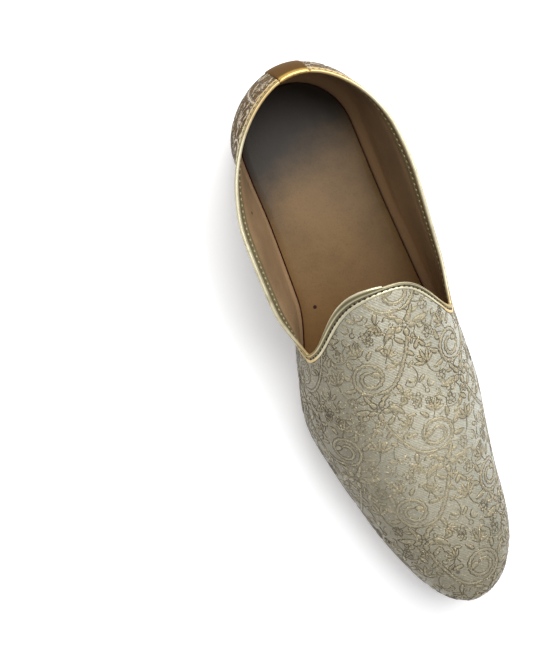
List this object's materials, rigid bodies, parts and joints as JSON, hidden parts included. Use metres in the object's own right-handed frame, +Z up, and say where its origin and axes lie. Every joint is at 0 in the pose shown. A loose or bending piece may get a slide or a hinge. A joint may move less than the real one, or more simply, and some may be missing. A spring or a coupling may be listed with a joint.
{
  "type": "mojari shoe",
  "caption": "Slip-on mojari shoe with a closed rounded toe, high curved throat, bound collar, back strap, thin sole and low heel.",
  "frame": {"origin": "bottom centre of the shoe's box, on the floor", "axes": "+Z up, the toe points to -Y, the medial side is +X"},
  "size_m": [0.0912, 0.2912, 0.0926],
  "materials": {
    "brocade": "woven ivory brocade with champagne vine pattern",
    "gold_leather": "metallic gold foil leather",
    "lining_leather": "tan satin lining",
    "insole_leather": "tan satin sock, darkened at the heel",
    "stitch_thread": "matt thread",
    "sole_rubber": "matt brown sole",
    "heel_rubber": "matt brown heel block"
  },
  "bodies": {
    "root": {"upper": "brocade", "collar_binding": "gold_leather", "heel_strap": "gold_leather", "insole": "insole_leather", "outsole": "sole_rubber", "heel": "heel_rubber"}
  },
  "joints": []
}
